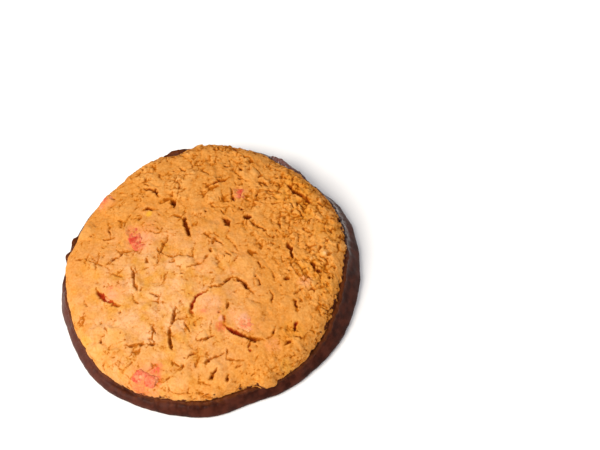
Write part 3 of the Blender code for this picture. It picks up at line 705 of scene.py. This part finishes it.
def crust_relief(points):
    """At points of the crust's smooth form: height along its normal, depth cut, what its material reads."""
    crumbled = crumbled_share(points)
    crumbly = np.maximum(crumbly_share(points), crumbled)
    crinkled = np.maximum(crumbly, CRINKLED_AT_FAR_EDGE * far_share(points))
    plan = warped(points, CRACK_WANDERS)[:, :2]
    frays = layered(points, FRAYS)
    gap, depth, lip = placed_cracks(plan, frays)
    lump, calm = placed_lumps(plan)
    unrest = 1 - CALM_SHARE * calm
    rough = layered(points, ROUGH_PATCHES) + ROUGH_LEAST + ROUGH_IF_CRUMBLY * crumbly + crumbled
    rough = smooth(rough) * unrest
    open_share = np.minimum(1.0, OPEN_LEAST + OPEN_IF_ROUGH * rough)

    bent = warped(points, PLATE_WANDERS)
    joint, _, plate_steps = plate_layer(bent, PLATES, crumbly, rough)
    big = broken_joints(points, joint, PLATE_BREAKS, crinkled, frays, unrest)
    seam = joint

    joint, _, platelet_steps = plate_layer(bent, PLATELETS, crumbly, rough)
    small = broken_joints(points, joint, PLATELET_BREAKS, crinkled, frays, open_share)
    seam = np.minimum(seam, joint)

    ragged = warped(points, CRUMB_WANDERS)
    joint, number, crumbs = plate_layer(ragged, CRUMBS, crumbly, rough, CRUMBS_IF_CRUMBLED * crumbled)
    pits = pit_gap(points, joint, number, crumbly)
    fine = broken_joints(points, joint, CRUMB_BREAKS, crinkled, frays, open_share)
    _, _, grains = plate_layer(points, GRAINS, crumbly, rough)

    cuts = (
        depth,
        PLATE_CRACK_DEPTH * crack_bed(big),
        (PLATELET_CRACK_DEPTH + PLATELET_CRACK_IF_CRUMBLY * crumbly) * crack_bed(small),
        PIT_DEPTH * crack_bed(pits),
        CRUMB_CRACK_DEPTH * crack_bed(fine),
    )
    cut = np.maximum.reduce(cuts)
    gap = np.clip(np.minimum.reduce([gap, big, small, pits, fine]), -FAR, FAR)
    dimples = layered(points, DIMPLES) + crumbly * layered(points, CRUMBLY_DIMPLES)
    raised = dimples + plate_steps + platelet_steps + crumbs + grains + lip
    # The raised relief is also read to paint highlights on the crust's high spots
    marks = {"raised": raised, "gap": gap, "seam": np.minimum(seam, FAR), "crumbled": crumbled}
    height = layered(points, SWELLS) + lump + raised + layered(points, SURFACE_GRAIN) - cut
    return height, cut, marks


def disc_faces(rings):
    """Faces of a disc whose ring k holds RING_SIDES k points, which keeps its triangles even in size."""
    def index(k, i):
        return 0 if k == 0 else 1 + RING_SIDES * k * (k - 1) // 2 + i % (RING_SIDES * k)

    faces = []
    for k in range(rings):
        for side in range(RING_SIDES):
            for i in range(k + 1):
                outer, inner = side * (k + 1) + i, side * k + i
                faces.append((index(k, inner), index(k + 1, outer), index(k + 1, outer + 1)))
                if i < k:
                    faces.append((index(k, inner), index(k + 1, outer + 1), index(k, inner + 1)))
    return faces


def new_piece(name, points, faces, material, slot, *nodes):
    """A shaded-smooth mesh from points in millimetres, riding on the root in place of its nodes."""
    mesh = bpy.data.meshes.new(name)
    mesh.from_pydata([tuple(p) for p in points], [], faces)
    mesh.transform(Matrix.Scale(METRES_PER_MM, 4) @ Matrix.Translation(-footprint_middle()))
    mesh.validate()
    mesh.shade_smooth()
    mesh.materials.append(material)
    piece = bpy.data.objects.new(name, mesh)
    bpy.context.scene.collection.objects.link(piece)
    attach(piece, "root")
    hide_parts(*nodes)
    return piece


def store(piece, name, values):
    """Keeps one number a vertex with the mesh, for its material to read."""
    layer = piece.data.attributes.new(name, "FLOAT", "POINT")
    layer.data.foreach_set("value", np.asarray(values, dtype=np.float32))


def crust_form():
    """The crust's smooth form: points in rings round the middle, with the normal and the angle of each."""
    r, z = evenly(*crust_profile(), CRUST_RINGS)
    normal_r, normal_z = -np.gradient(z), np.gradient(r)
    size = np.hypot(normal_r, normal_z)
    rows = []
    for k in range(CRUST_RINGS + 1):
        count = max(1, RING_SIDES * k)
        angles = np.arange(count) * math.tau / count
        rows.append(np.column_stack([np.full(count, k), angles]))
    ring, angle = np.concatenate(rows).T
    ring = ring.astype(int)
    widest = shoulder_centre().x + SHOULDER_ROUND
    radius = r[ring] + crust_growth(angle) * (r[ring] / widest) ** 2
    out = np.column_stack([np.cos(angle), np.sin(angle)])
    form = np.column_stack([out * radius[:, None], z[ring]])
    normals = np.column_stack([out * (normal_r / size)[ring][:, None], (normal_z / size)[ring]])
    return form, normals, angle


def stains(form, cut, angle):
    """How strongly heat and painted light and shade, juice, sugar, peel and chocolate colour each point of
    the crust.
    """
    ragged = layered(form, SPOT_RAGS)
    toasted = toasted_and_shaded_share(form)
    film = rim_height(angle) + SMEAR_RISE + layered(form, SMEAR_EDGE)
    wet = smooth((cut - JUICE_TOP) / JUICE_GROWTH)
    return {
        # The core darkens with a crack's depth: partly painted shade
        "core": smooth(cut / CORE_DEPTH) * (CORE_IN_PALE + (1 - CORE_IN_PALE) * toasted),
        "juice": spots(form, JUICE_STAINS, SOFT_SPOT, ragged),
        "soaked": spots(form, SOAKED_SPOTS, FIRM_SPOT, ragged),
        "wet_crack": spots(form, JUICE_CRACKS, CRISP_SPOT, 0.0) * wet,
        "milky": spots(form, MILKY_SPOTS, SOFT_SPOT, ragged),
        "peel": spots(form, PEEL_SPOTS, FIRM_SPOT, ragged),
        "crumbly": crumbly_share(form),
        "toasted": toasted,
        "smeared": smooth((film - form[:, 2]) / SMEAR_FADE + 0.5),
    }


def make_crust(material):
    """The baked biscuit: its smooth form with the relief added, closed by a flat bottom."""
    form, normals, angle = crust_form()
    height, cut, marks = crust_relief(form)
    faces = disc_faces(CRUST_RINGS)
    last = RING_SIDES * CRUST_RINGS
    faces.append(tuple(range(len(form) - last, len(form)))[::-1])
    points = form + normals * height[:, None]
    piece = new_piece("crust", points, faces, material, "baked_dough", "biscuit")
    marks.update(stains(form, cut, angle))
    for name, values in marks.items():
        store(piece, name, values)


def rounded(points, rounds=3):
    """A line of points with its corners cut, again and again, into a smooth curve."""
    for _ in range(rounds):
        first, last = points[:1], points[-1:]
        near = 0.75 * points[:-1] + 0.25 * points[1:]
        far = 0.25 * points[:-1] + 0.75 * points[1:]
        middle = np.stack([near, far], axis=1).reshape(-1, *points.shape[1:])
        points = np.concatenate([first, middle[1:-1], last])
    return points


def cup_section(angle, gloss):
    """The rim's height at each angle, and the cup's section there, from under its foot to inside its rim."""
    circle = np.column_stack([np.cos(angle), np.sin(angle), np.zeros_like(angle)]) * CUP_NOISE_RADIUS
    foot = foot_radius(angle) + layered(circle, FOOT_WAVES)
    blobs = lobed(angle, RIM_BLOBS)
    rim = rim_height(angle) + layered(circle, RIM_TEARS) * (1 + TEARS_IF_GLOSSY * gloss) + blobs
    waves = layered(circle, RIM_WAVES) + gloss * layered(circle, GLOSSY_RIM_WAVES)
    top = side_radius(rim) + crust_growth(angle) + RIM_THICKNESS + blobs + waves
    ankle, ankle_height = foot - ANKLE_INSET, np.full_like(angle, FOOT_HEIGHT + ANKLE_RISE)
    section = [
        (foot - UNDER_INSET, np.zeros_like(angle)),
        (foot - SOLE_INSET, np.zeros_like(angle)),
        (foot - TOE_INSET, np.full_like(angle, TOE_HEIGHT)),
        (foot, np.full_like(angle, FOOT_HEIGHT)),
        (ankle, ankle_height),
        ((ankle + top) / 2 - WALL_HOLLOW, (ankle_height + rim) / 2),
    ]
    section += [(top - inset, rim + rise) for inset, rise in RIM_ROUND]
    return rim, rounded(np.array(section))


def swept_faces(segments, count):
    """Faces of a section of that many points swept round, closed by a flat face at both ends."""
    faces = []
    for i in range(segments):
        here, there = i * count, (i + 1) % segments * count
        for j in range(count - 1):
            faces.append((here + j, there + j, there + j + 1, here + j + 1))
    faces.append(tuple(i * count for i in range(segments))[::-1])
    faces.append(tuple(i * count + count - 1 for i in range(segments)))
    return faces


def make_chocolate(material):
    """The cup: a section swept round the cookie, with a ragged rim and a foot that spread while it set."""
    angle = np.arange(CHOCOLATE_SEGMENTS) * math.tau / CHOCOLATE_SEGMENTS
    gloss = lobed(angle, GLOSS_LOBES)
    rim, curve = cup_section(angle, gloss)
    count = len(curve)
    radius, height = curve[:, 0, :].T.ravel(), curve[:, 1, :].T.ravel()
    turn, rim = np.repeat(angle, count), np.repeat(rim, count)
    out = np.column_stack([np.cos(turn), np.sin(turn), np.zeros_like(turn)])
    points = out * radius[:, None]
    points[:, 2] = height
    glossy = np.repeat(gloss, count) * smooth((height - rim + GLOSS_DROP) / GLOSS_FADE)
    ripple = layered(points, RIPPLES) + glossy * layered(points, GLOSSY_RIPPLES)
    points += out * (ripple * smooth((height - RIPPLE_START) / RIPPLE_GROWTH))[:, None]
    faces = swept_faces(CHOCOLATE_SEGMENTS, count)
    piece = new_piece("chocolate", points, faces, material, "dark_chocolate", "chocolate_base")
    near_rim = smooth((height - rim + CRUMBED_DROP + layered(points, CRUMBED_EDGE)) / CRUMBED_FADE)
    # A pale sheen is painted round the cup in lobes: a painted reflection and glint
    store(piece, "painted_sheen", lobed(turn, PAINTED_SHEEN_LOBES))
    store(piece, "gloss", glossy)
    store(piece, "crumbed", CRUMBED_SHARE * near_rim * (1 - glossy))


def squared(value):
    """A sine or cosine pushed outwards, which turns a circle into a rounded square."""
    return np.copysign(np.abs(value) ** BIT_SQUARENESS, value)


def ball_faces(rings, segments):
    """Faces of a ball: its points come in rings from the top down, and after them its top and bottom."""
    faces, top = [], segments * (rings - 1)
    last = segments * (rings - 2)
    for i in range(segments):
        j = (i + 1) % segments
        faces.append((top, i, j))
        for ring in range(rings - 2):
            here, below = ring * segments, (ring + 1) * segments
            faces.append((here + i, below + i, below + j, here + j))
        faces.append((last + i, top + 1, last + j))
    return faces


def rounded_block():
    """Points of a block with round edges that reaches from -1 to 1 along each axis."""
    down = np.pi * np.arange(1, BIT_RINGS) / BIT_RINGS
    turn = math.tau * np.arange(BIT_SEGMENTS) / BIT_SEGMENTS
    down, turn = [a.ravel() for a in np.meshgrid(down, turn, indexing="ij")]
    out = squared(np.sin(down))
    x, y = out * squared(np.cos(turn)), out * squared(np.sin(turn))
    return np.vstack([np.column_stack([x, y, squared(np.cos(down))]), [0, 0, 1], [0, 0, -1]])


def dome_under(x, y):
    """The smooth dome's point over x and y, and the turn that lays a bit flat on it."""
    reach = math.hypot(x, y)
    from_middle = reach - float(crust_growth(math.atan2(y, x))) * (reach / SHOULDER_START) ** 2
    before, here, after = dome_height(from_middle + np.array([-SLOPE_REACH, 0.0, SLOPE_REACH]))
    fall = math.atan2(before - after, 2 * SLOPE_REACH)
    tilt = Matrix.Rotation(fall, 3, Vector((-y, x, 0.0)).normalized())
    return Vector((x, y, here)), tilt


def make_cherry_bit(row, number, material):
    """One bit of candied fruit: a torn, rounded block let into the crust."""
    x, y, heading, length, breadth, thickness, proud = row
    on_dome, tilt = dome_under(x, y)
    sunk = proud - BIT_SINKS[number - 1] - thickness / 2
    centre = np.array(on_dome + tilt @ Vector((0.0, 0.0, sunk)))
    place = np.array(tilt @ Matrix.Rotation(math.radians(heading), 3, "Z"))
    block = rounded_block()
    sized = block * np.array([length, breadth, thickness]) / 2
    lump = layered(sized @ place.T + centre, BIT_LUMPS)
    placed = (sized * (1 + lump)[:, None]) @ place.T + centre
    faces = ball_faces(BIT_RINGS, BIT_SEGMENTS)
    name = f"candied_cherry_{number}"
    piece = new_piece(name, placed, faces, material, "candied_cherry", f"cherry_bit_{number}")
    to_rim = smooth((np.abs(block[:, :2]).max(axis=1) - VEIL_START) / (1 - VEIL_START))
    film = BIT_VEILS[number - 1] + layered(placed, BIT_FILM) + VEIL_AT_RIM * to_rim
    store(piece, "veil", np.clip(film, 0.0, 1.0))


MIX_FACTOR, MIX_A, MIX_B, MIX_RESULT = 0, 6, 7, 2

# Sizes of the patterns in the materials
DOUGH_PATCH, CRUMB_GRAIN = 3.5, 0.35
COCOA_CLOUD, COCOA_GRAIN = 2.2, 0.8
FRUIT_FIBRE, FRUIT_GRAIN = 2.2, 0.6
# How deep the bumps of the finest grain are
CRUMB_BUMP, COCOA_BUMP, FRUIT_BUMP = 0.16, 0.15, 0.2
# How far the grain of the crumb nibbles at the edges of cracks
NIBBLE = 0.6
# Browned specks, sugar and scorched flour: size, detail, start, end, strength, more where crumbly, tone
SPECKS = (
    (1.1, 4.0, 0.50, 0.70, 0.30, 0.55, "#b4681c"),
    (0.45, 2.0, 0.55, 0.68, 0.32, 0.0, "#dfa75e"),
    (0.45, 2.0, 0.45, 0.34, 0.24, 0.40, "#b0640c"),
)
# Painted sheen and crumbs on the chocolate: what is read, the tone
CHOCOLATE_LAYERS = (
    # The pale tone is painted sheen
    ("painted_sheen", "#6a423a"),
    ("crumbed", "#5c2c0c"),
)


def add(tree, kind, inputs, output=0, **settings):
    """Adds a node with its settings and gives back one of its outputs.

    Its inputs are given as a value for each socket, or as the socket that is linked to it.
    """
    node = tree.nodes.new("ShaderNode" + kind)
    for name, value in settings.items():
        setattr(node, name, value)
    for socket, value in inputs.items():
        if isinstance(value, bpy.types.NodeSocket):
            tree.links.new(value, node.inputs[socket])
        else:
            node.inputs[socket].default_value = value
    return node.outputs[output]


def new_material(name):
    """A material with its tree and its shader's node."""
    material = bpy.data.materials.new(name)
    material.use_nodes = True
    return material, material.node_tree, material.node_tree.nodes["Principled BSDF"]


# The crust's colours, layer over layer: what is read, where it starts and ends, how strong it gets, the tone
CRUST_LAYERS = (
    # Browner away from the key lamp: partly the oven's browning, partly painted shade
    ("toasted", 0.0, 1.0, 1.0, "#c78238"),
    ("crumbly", 0.25, 1.0, 0.5, "#d29044"),
    ("crumbled", 0.10, 0.90, 0.5, "#cb8424"),
    # The raised layers are painted highlights on high spots and on the lips of cracks
    ("raised", 0.02, 0.40, 0.45, "#dda560"),
    ("raised", 0.42, 0.75, 0.65, "#f0d0a2"),
    ("juice", 0.0, 1.0, 1.0, "#d9875a"),
    ("soaked", 0.0, 1.0, 1.0, "#cc5638"),
    ("milky", 0.0, 1.0, 1.0, "#dea78c"),
    ("peel", 0.0, 1.0, 1.0, "#d69a34"),
    ("seam", 0.16, 0.0, 0.28, "#bc6c14"),
    # In and round the cracks: partly browner dough, partly painted shade in the recesses
    ("gap", 0.26, 0.02, 0.45, "#b86a10"),
    ("gap", 0.06, -0.08, 0.90, "#a05400"),
    ("core", 0.20, 0.80, 0.95, "#7c2e00"),
    ("wet_crack", 0.0, 1.0, 0.90, "#a63010"),
    ("smeared", 0.0, 1.0, 1.0, "#4a200f"),
)
CRUST_ATTRIBUTES = sorted({layer[0] for layer in CRUST_LAYERS})


def oven_baked_sugar_dough():
    """Oven-baked sugar dough: dry and matt, with painted highlights where it is raised, golden where it
    faced the heat and browner away from the key lamp, partly as painted shade.

    Cracks go from orange to deep brown with depth, partly their browner dough and partly painted shade,
    fruit juice dyes it pink, and chocolate smears its foot.
    """
    material, tree, shader = new_material("oven_baked_sugar_dough")
    place = add(tree, "TexCoord", {}, "Object")
    read = {}
    for name in CRUST_ATTRIBUTES:
        read[name] = add(tree, "Attribute", {}, "Fac", attribute_name=name)
    grain = {"Vector": place, "Scale": per_mm(CRUMB_GRAIN), "Detail": 3.0}
    crumb = add(tree, "TexNoise", grain, "Fac")
    nibbled = {0: crumb, 1: NIBBLE, 2: -NIBBLE / 2}
    nibble = add(tree, "Math", nibbled, operation="MULTIPLY_ADD")
    for name in ("gap", "seam"):
        read[name] = add(tree, "Math", {0: read[name], 1: nibble}, operation="ADD")
    torn = {"Value": crumb, "From Min": 0.35, "From Max": 0.62, "To Min": 0.25, "To Max": 1.2}
    torn = add(tree, "MapRange", torn)
    for name in ("juice", "soaked"):
        read[name] = add(tree, "Math", {0: read[name], 1: torn}, operation="MULTIPLY")
    uneven = {"Vector": place, "Scale": per_mm(DOUGH_PATCH), "Detail": 3.0}
    patches = add(tree, "TexNoise", uneven, "Fac")
    shares = add(tree, "MapRange", {"Value": patches, "From Min": 0.35, "From Max": 0.65})
    tone = {MIX_FACTOR: shares, MIX_A: paint("#c88a3a"), MIX_B: paint("#d7a373")}
    colour = add(tree, "Mix", tone, MIX_RESULT, data_type="RGBA")
    for name, start, end, strength, code in CRUST_LAYERS:
        reach = {"Value": read[name], "From Min": start, "From Max": end, "To Max": strength}
        share = add(tree, "MapRange", reach)
        layer = {MIX_FACTOR: share, MIX_A: colour, MIX_B: paint(code)}
        colour = add(tree, "Mix", layer, MIX_RESULT, data_type="RGBA")
        if name == "crumbly":
            colour = speckled(tree, place, colour, read["crumbly"])
    bump = {"Height": crumb, "Strength": 0.3, "Distance": CRUMB_BUMP * METRES_PER_MM}
    tree.links.new(colour, shader.inputs["Base Color"])
    tree.links.new(add(tree, "Bump", bump), shader.inputs["Normal"])
    shader.inputs["Roughness"].default_value = 0.75
    shader.inputs["IOR"].default_value = 1.45
    shader.inputs["Specular IOR Level"].default_value = 0.06
    return material


def speckled(tree, place, colour, crumbly):
    """The colour with browned specks about a millimetre across and a finer grain of sugar and flour."""
    for size, detail, start, end, strength, if_crumbly, code in SPECKS:
        more = {0: crumbly, 1: if_crumbly, 2: strength}
        most = add(tree, "Math", more, operation="MULTIPLY_ADD")
        pattern = {"Vector": place, "Scale": per_mm(size), "Detail": detail}
        specks = add(tree, "TexNoise", pattern, "Fac")
        reach = {"Value": specks, "From Min": start, "From Max": end, "To Max": most}
        share = add(tree, "MapRange", reach)
        layer = {MIX_FACTOR: share, MIX_A: colour, MIX_B: paint(code)}
        colour = add(tree, "Mix", layer, MIX_RESULT, data_type="RGBA")
    return colour


def poured_dark_chocolate():
    """Poured dark chocolate, set in air: cocoa brown with a satin gloss, dulled in soft clouds, with a pale
    sheen painted on in places.

    Where its rim stayed wet, a clear coat of cocoa butter gives it small bright glints.
    """
    material, tree, shader = new_material("poured_dark_chocolate")
    place = add(tree, "TexCoord", {}, "Object")
    pattern = {"Vector": place, "Scale": per_mm(COCOA_CLOUD), "Detail": 4.0}
    clouds = add(tree, "TexNoise", pattern, "Fac")
    cloudy = add(tree, "MapRange", {"Value": clouds, "From Min": 0.38, "From Max": 0.62})
    cocoa = {MIX_FACTOR: cloudy, MIX_A: paint("#2d1008"), MIX_B: paint("#472015")}
    colour = add(tree, "Mix", cocoa, MIX_RESULT, data_type="RGBA")
    for name, code in CHOCOLATE_LAYERS:
        share = add(tree, "Attribute", {}, "Fac", attribute_name=name)
        layer = {MIX_FACTOR: share, MIX_A: colour, MIX_B: paint(code)}
        colour = add(tree, "Mix", layer, MIX_RESULT, data_type="RGBA")
    dulled = {"Value": clouds, "From Min": 0.3, "From Max": 0.7, "To Min": 0.34, "To Max": 0.48}
    pattern = {"Vector": place, "Scale": per_mm(COCOA_GRAIN), "Detail": 3.0}
    fine = add(tree, "TexNoise", pattern, "Fac")
    bump = {"Height": fine, "Strength": 0.25, "Distance": COCOA_BUMP * METRES_PER_MM}
    gloss = add(tree, "Attribute", {}, "Fac", attribute_name="gloss")
    tree.links.new(colour, shader.inputs["Base Color"])
    tree.links.new(add(tree, "MapRange", dulled), shader.inputs["Roughness"])
    tree.links.new(add(tree, "Bump", bump), shader.inputs["Normal"])
    tree.links.new(gloss, shader.inputs["Coat Weight"])
    shader.inputs["Coat Roughness"].default_value = 0.15
    shader.inputs["Specular IOR Level"].default_value = 0.06
    shader.inputs["IOR"].default_value = 1.46
    return material


def candied_cherry_flesh():
    """Candied cherry, diced and baked in: sugary flesh, moist, with light going some way into it."""
    material, tree, shader = new_material("candied_cherry_flesh")
    place = add(tree, "TexCoord", {}, "Object")
    pattern = {"Vector": place, "Scale": per_mm(FRUIT_FIBRE), "Detail": 2.0}
    fibres = add(tree, "TexNoise", pattern, "Fac")
    pattern = {"Vector": place, "Scale": per_mm(FRUIT_GRAIN), "Detail": 3.0}
    grain = add(tree, "TexNoise", pattern, "Fac")
    mottled = add(tree, "Math", {0: fibres, 1: grain}, operation="ADD")
    pale = add(tree, "MapRange", {"Value": mottled, "From Min": 0.78, "From Max": 1.22})
    flesh = {MIX_FACTOR: pale, MIX_A: paint("#b8341d"), MIX_B: paint("#d2744a")}
    colour = add(tree, "Mix", flesh, MIX_RESULT, data_type="RGBA")
    veil = add(tree, "Attribute", {}, "Fac", attribute_name="veil")
    veiled = {MIX_FACTOR: veil, MIX_A: colour, MIX_B: paint("#d8905c")}
    colour = add(tree, "Mix", veiled, MIX_RESULT, data_type="RGBA")
    bump = {"Height": mottled, "Strength": 0.4, "Distance": FRUIT_BUMP * METRES_PER_MM}
    tree.links.new(colour, shader.inputs["Base Color"])
    tree.links.new(add(tree, "Bump", bump), shader.inputs["Normal"])
    shader.inputs["Roughness"].default_value = 0.45
    shader.inputs["IOR"].default_value = 1.44
    shader.inputs["Specular IOR Level"].default_value = 0.25
    shader.inputs["Subsurface Weight"].default_value = 0.3
    shader.inputs["Subsurface Radius"].default_value = (1.0, 0.25, 0.15)
    shader.inputs["Subsurface Scale"].default_value = 1.0 * METRES_PER_MM
    return material


# Half the table top's side, and how far it lies under the cookie, in metres
FLOOR_HALF, FLOOR_DROP = 1.5, 0.0002
# Lamps: name, azimuth, elevation, distance and size in metres, watts, colour
LAMPS = (
    ("key", -52, 47, 0.80, 0.62, 9.6, "#fff8ee"),
    ("fill", 75, 50, 0.90, 0.80, 2.2, "#fbf8ff"),
)
ROOM_STRENGTH = 0.44


def make_floor():
    """A plain pale table top, not part of the cookie."""
    corners = [(x * FLOOR_HALF, y * FLOOR_HALF, 0) for x, y in ((-1, -1), (1, -1), (1, 1), (-1, 1))]
    mesh = bpy.data.meshes.new("floor")
    mesh.from_pydata(corners, [], [(0, 1, 2, 3)])
    material, _, shader = new_material("white_table_top")
    shader.inputs["Base Color"].default_value = paint("#f7f7f7")
    shader.inputs["Roughness"].default_value = 0.9
    mesh.materials.append(material)
    floor = bpy.data.objects.new("floor", mesh)
    floor.location.z = -FLOOR_DROP
    bpy.context.scene.collection.objects.link(floor)


def add_lamp(name, azimuth, elevation, distance, size, watts, colour):
    """A soft square lamp aimed at the cookie. Azimuth 0 is in front of it, at -Y, and 90 at +X."""
    a, e = math.radians(azimuth), math.radians(elevation)
    towards = Vector((math.sin(a) * math.cos(e), -math.cos(a) * math.cos(e), math.sin(e)))
    light = bpy.data.lights.new(name, "AREA")
    light.size = size
    light.energy = watts
    light.color = paint(colour)[:3]
    lamp = bpy.data.objects.new(name, light)
    lamp.location = towards * distance
    lamp.rotation_mode = "QUATERNION"
    lamp.rotation_quaternion = towards.to_track_quat("Z", "Y")
    bpy.context.scene.collection.objects.link(lamp)


def light_scene():
    """A large soft key from the near left, a weak fill from the right, and a bright room."""
    for row in LAMPS:
        add_lamp(*row)
    world = bpy.data.worlds.new("room")
    world.use_nodes = True
    background = world.node_tree.nodes["Background"]
    background.inputs["Color"].default_value = paint("#ffffff")
    background.inputs["Strength"].default_value = ROOM_STRENGTH
    scene = bpy.context.scene
    scene.world = world
    scene.view_settings.view_transform = "Standard"


# The photograph's view: the way to the camera, its turn about that way, its distance in metres and its lens
VIEW_AZIMUTH, VIEW_ELEVATION, VIEW_ROLL = 22.1, 59.6, 22.1
VIEW_DISTANCE = 0.300
SENSOR_WIDTH = 36.0
LENS = 78.3
IMAGE_WIDTH, IMAGE_HEIGHT = 600, 450
# Pixel where the middle of the cookie's foot shows
MIDDLE_ACROSS, MIDDLE_DOWN = 210.5, 277.0
CLIP_START, CLIP_END = 0.01, 10.0


def add_camera():
    a, e = math.radians(VIEW_AZIMUTH), math.radians(VIEW_ELEVATION)
    back = Vector((math.sin(a) * math.cos(e), -math.cos(a) * math.cos(e), math.sin(e)))
    right = Vector((math.cos(a), math.sin(a), 0.0))
    facing = Matrix((right, back.cross(right), back)).transposed()
    rolled = facing @ Matrix.Rotation(-math.radians(VIEW_ROLL), 3, "Z")
    focal = LENS * IMAGE_WIDTH / SENSOR_WIDTH
    seen = Vector((MIDDLE_ACROSS - IMAGE_WIDTH / 2, IMAGE_HEIGHT / 2 - MIDDLE_DOWN, -focal))
    aim = Vector((0.0, 0.0, -1.0)).rotation_difference(seen).to_matrix()
    data = bpy.data.cameras.new("camera")
    data.sensor_width = SENSOR_WIDTH
    data.lens = LENS
    data.clip_start, data.clip_end = CLIP_START, CLIP_END
    camera = bpy.data.objects.new("camera", data)
    turn = (rolled @ aim.transposed()).to_4x4()
    place = back * VIEW_DISTANCE - footprint_middle() * METRES_PER_MM
    camera.matrix_world = Matrix.Translation(place) @ turn
    bpy.context.scene.collection.objects.link(camera)
    bpy.context.scene.camera = camera


def main():
    crust_dough = oven_baked_sugar_dough()
    chocolate = poured_dark_chocolate()
    cherry = candied_cherry_flesh()
    make_crust(crust_dough)
    make_chocolate(chocolate)
    for number, row in enumerate(CHERRY_BITS, start=1):
        make_cherry_bit(row, number, cherry)
    make_floor()
    light_scene()
    add_camera()


main()
